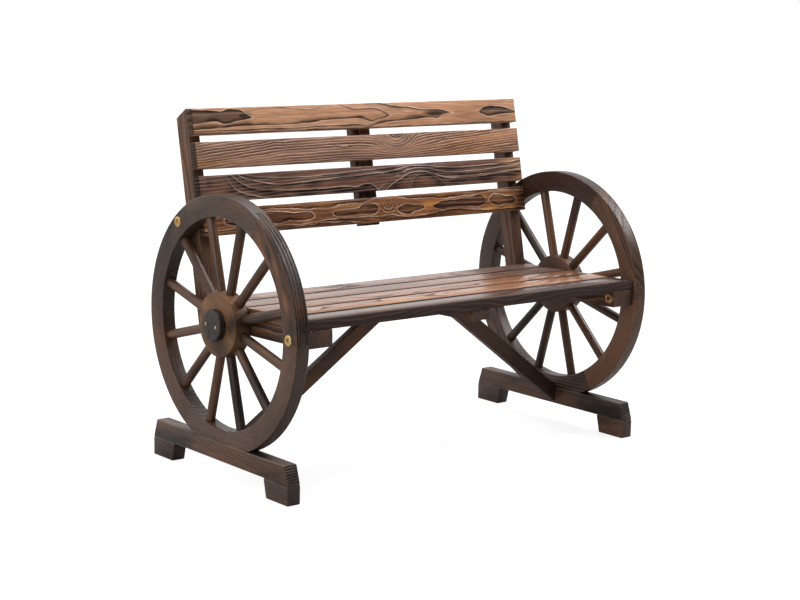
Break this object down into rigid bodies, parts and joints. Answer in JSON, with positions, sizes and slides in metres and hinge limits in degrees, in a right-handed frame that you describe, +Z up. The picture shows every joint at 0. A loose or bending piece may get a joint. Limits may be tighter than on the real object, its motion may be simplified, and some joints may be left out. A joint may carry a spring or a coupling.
{
  "type": "wagon wheel bench",
  "caption": "Rustic two-seat garden bench: spoked wooden wagon wheels standing on feet carry a slatted seat and a leaning slatted back, with sloping braces below.",
  "frame": {"origin": "on the floor, midway between the wheels and below their axles, which is the centre of the box's bottom face", "axes": "+X to the right seen from the front, along the seat; +Y to the back; +Z up"},
  "size_m": [1.0732, 0.56, 0.7937],
  "materials": {
    "rim_wood": "torched and stained fir, satin varnish, grey-brown",
    "spoke_wood": "stained dowel, satin varnish, red-brown",
    "hub_wood": "torched fir, satin varnish, orange-brown",
    "cap_wood": "dark stained disc, satin varnish",
    "foot_wood": "torched fir, satin varnish, grey-brown",
    "seat_wood": "torched fir, gloss varnish, orange-brown",
    "back_wood": "torched fir with strong grain, satin varnish, orange and dark brown",
    "frame_wood": "torched fir, satin varnish, dark brown"
  },
  "bodies": {
    "root": {"back_batten": "frame_wood", "back_slat_1": "back_wood", "back_slat_2": "back_wood", "back_slat_3": "back_wood", "back_slat_4": "back_wood", "left_back_post": "frame_wood", "left_brace": "frame_wood", "left_felloe_1": "rim_wood", "left_felloe_2": "rim_wood", "left_felloe_3": "rim_wood", "left_felloe_4": "rim_wood", "left_felloe_5": "rim_wood", "left_felloe_6": "rim_wood", "left_foot": "foot_wood", "left_hub": "hub_wood", "left_hub_cap": "cap_wood", "left_seat_bearer": "frame_wood", "left_spoke_01": "spoke_wood", "left_spoke_02": "spoke_wood", "left_spoke_03": "spoke_wood", "left_spoke_04": "spoke_wood", "left_spoke_05": "spoke_wood", "left_spoke_06": "spoke_wood", "left_spoke_07": "spoke_wood", "left_spoke_08": "spoke_wood", "left_spoke_09": "spoke_wood", "left_spoke_10": "spoke_wood", "left_spoke_11": "spoke_wood", "left_spoke_12": "spoke_wood", "right_back_post": "frame_wood", "right_brace": "frame_wood", "right_felloe_1": "rim_wood", "right_felloe_2": "rim_wood", "right_felloe_3": "rim_wood", "right_felloe_4": "rim_wood", "right_felloe_5": "rim_wood", "right_felloe_6": "rim_wood", "right_foot": "foot_wood", "right_hub": "hub_wood", "right_hub_cap": "cap_wood", "right_seat_bearer": "frame_wood", "right_spoke_01": "spoke_wood", "right_spoke_02": "spoke_wood", "right_spoke_03": "spoke_wood", "right_spoke_04": "spoke_wood", "right_spoke_05": "spoke_wood", "right_spoke_06": "spoke_wood", "right_spoke_07": "spoke_wood", "right_spoke_08": "spoke_wood", "right_spoke_09": "spoke_wood", "right_spoke_10": "spoke_wood", "right_spoke_11": "spoke_wood", "right_spoke_12": "spoke_wood", "seat_batten": "frame_wood", "seat_slat_1": "seat_wood", "seat_slat_2": "seat_wood", "seat_slat_3": "seat_wood", "seat_slat_4": "seat_wood", "seat_slat_5": "seat_wood"}
  },
  "joints": []
}
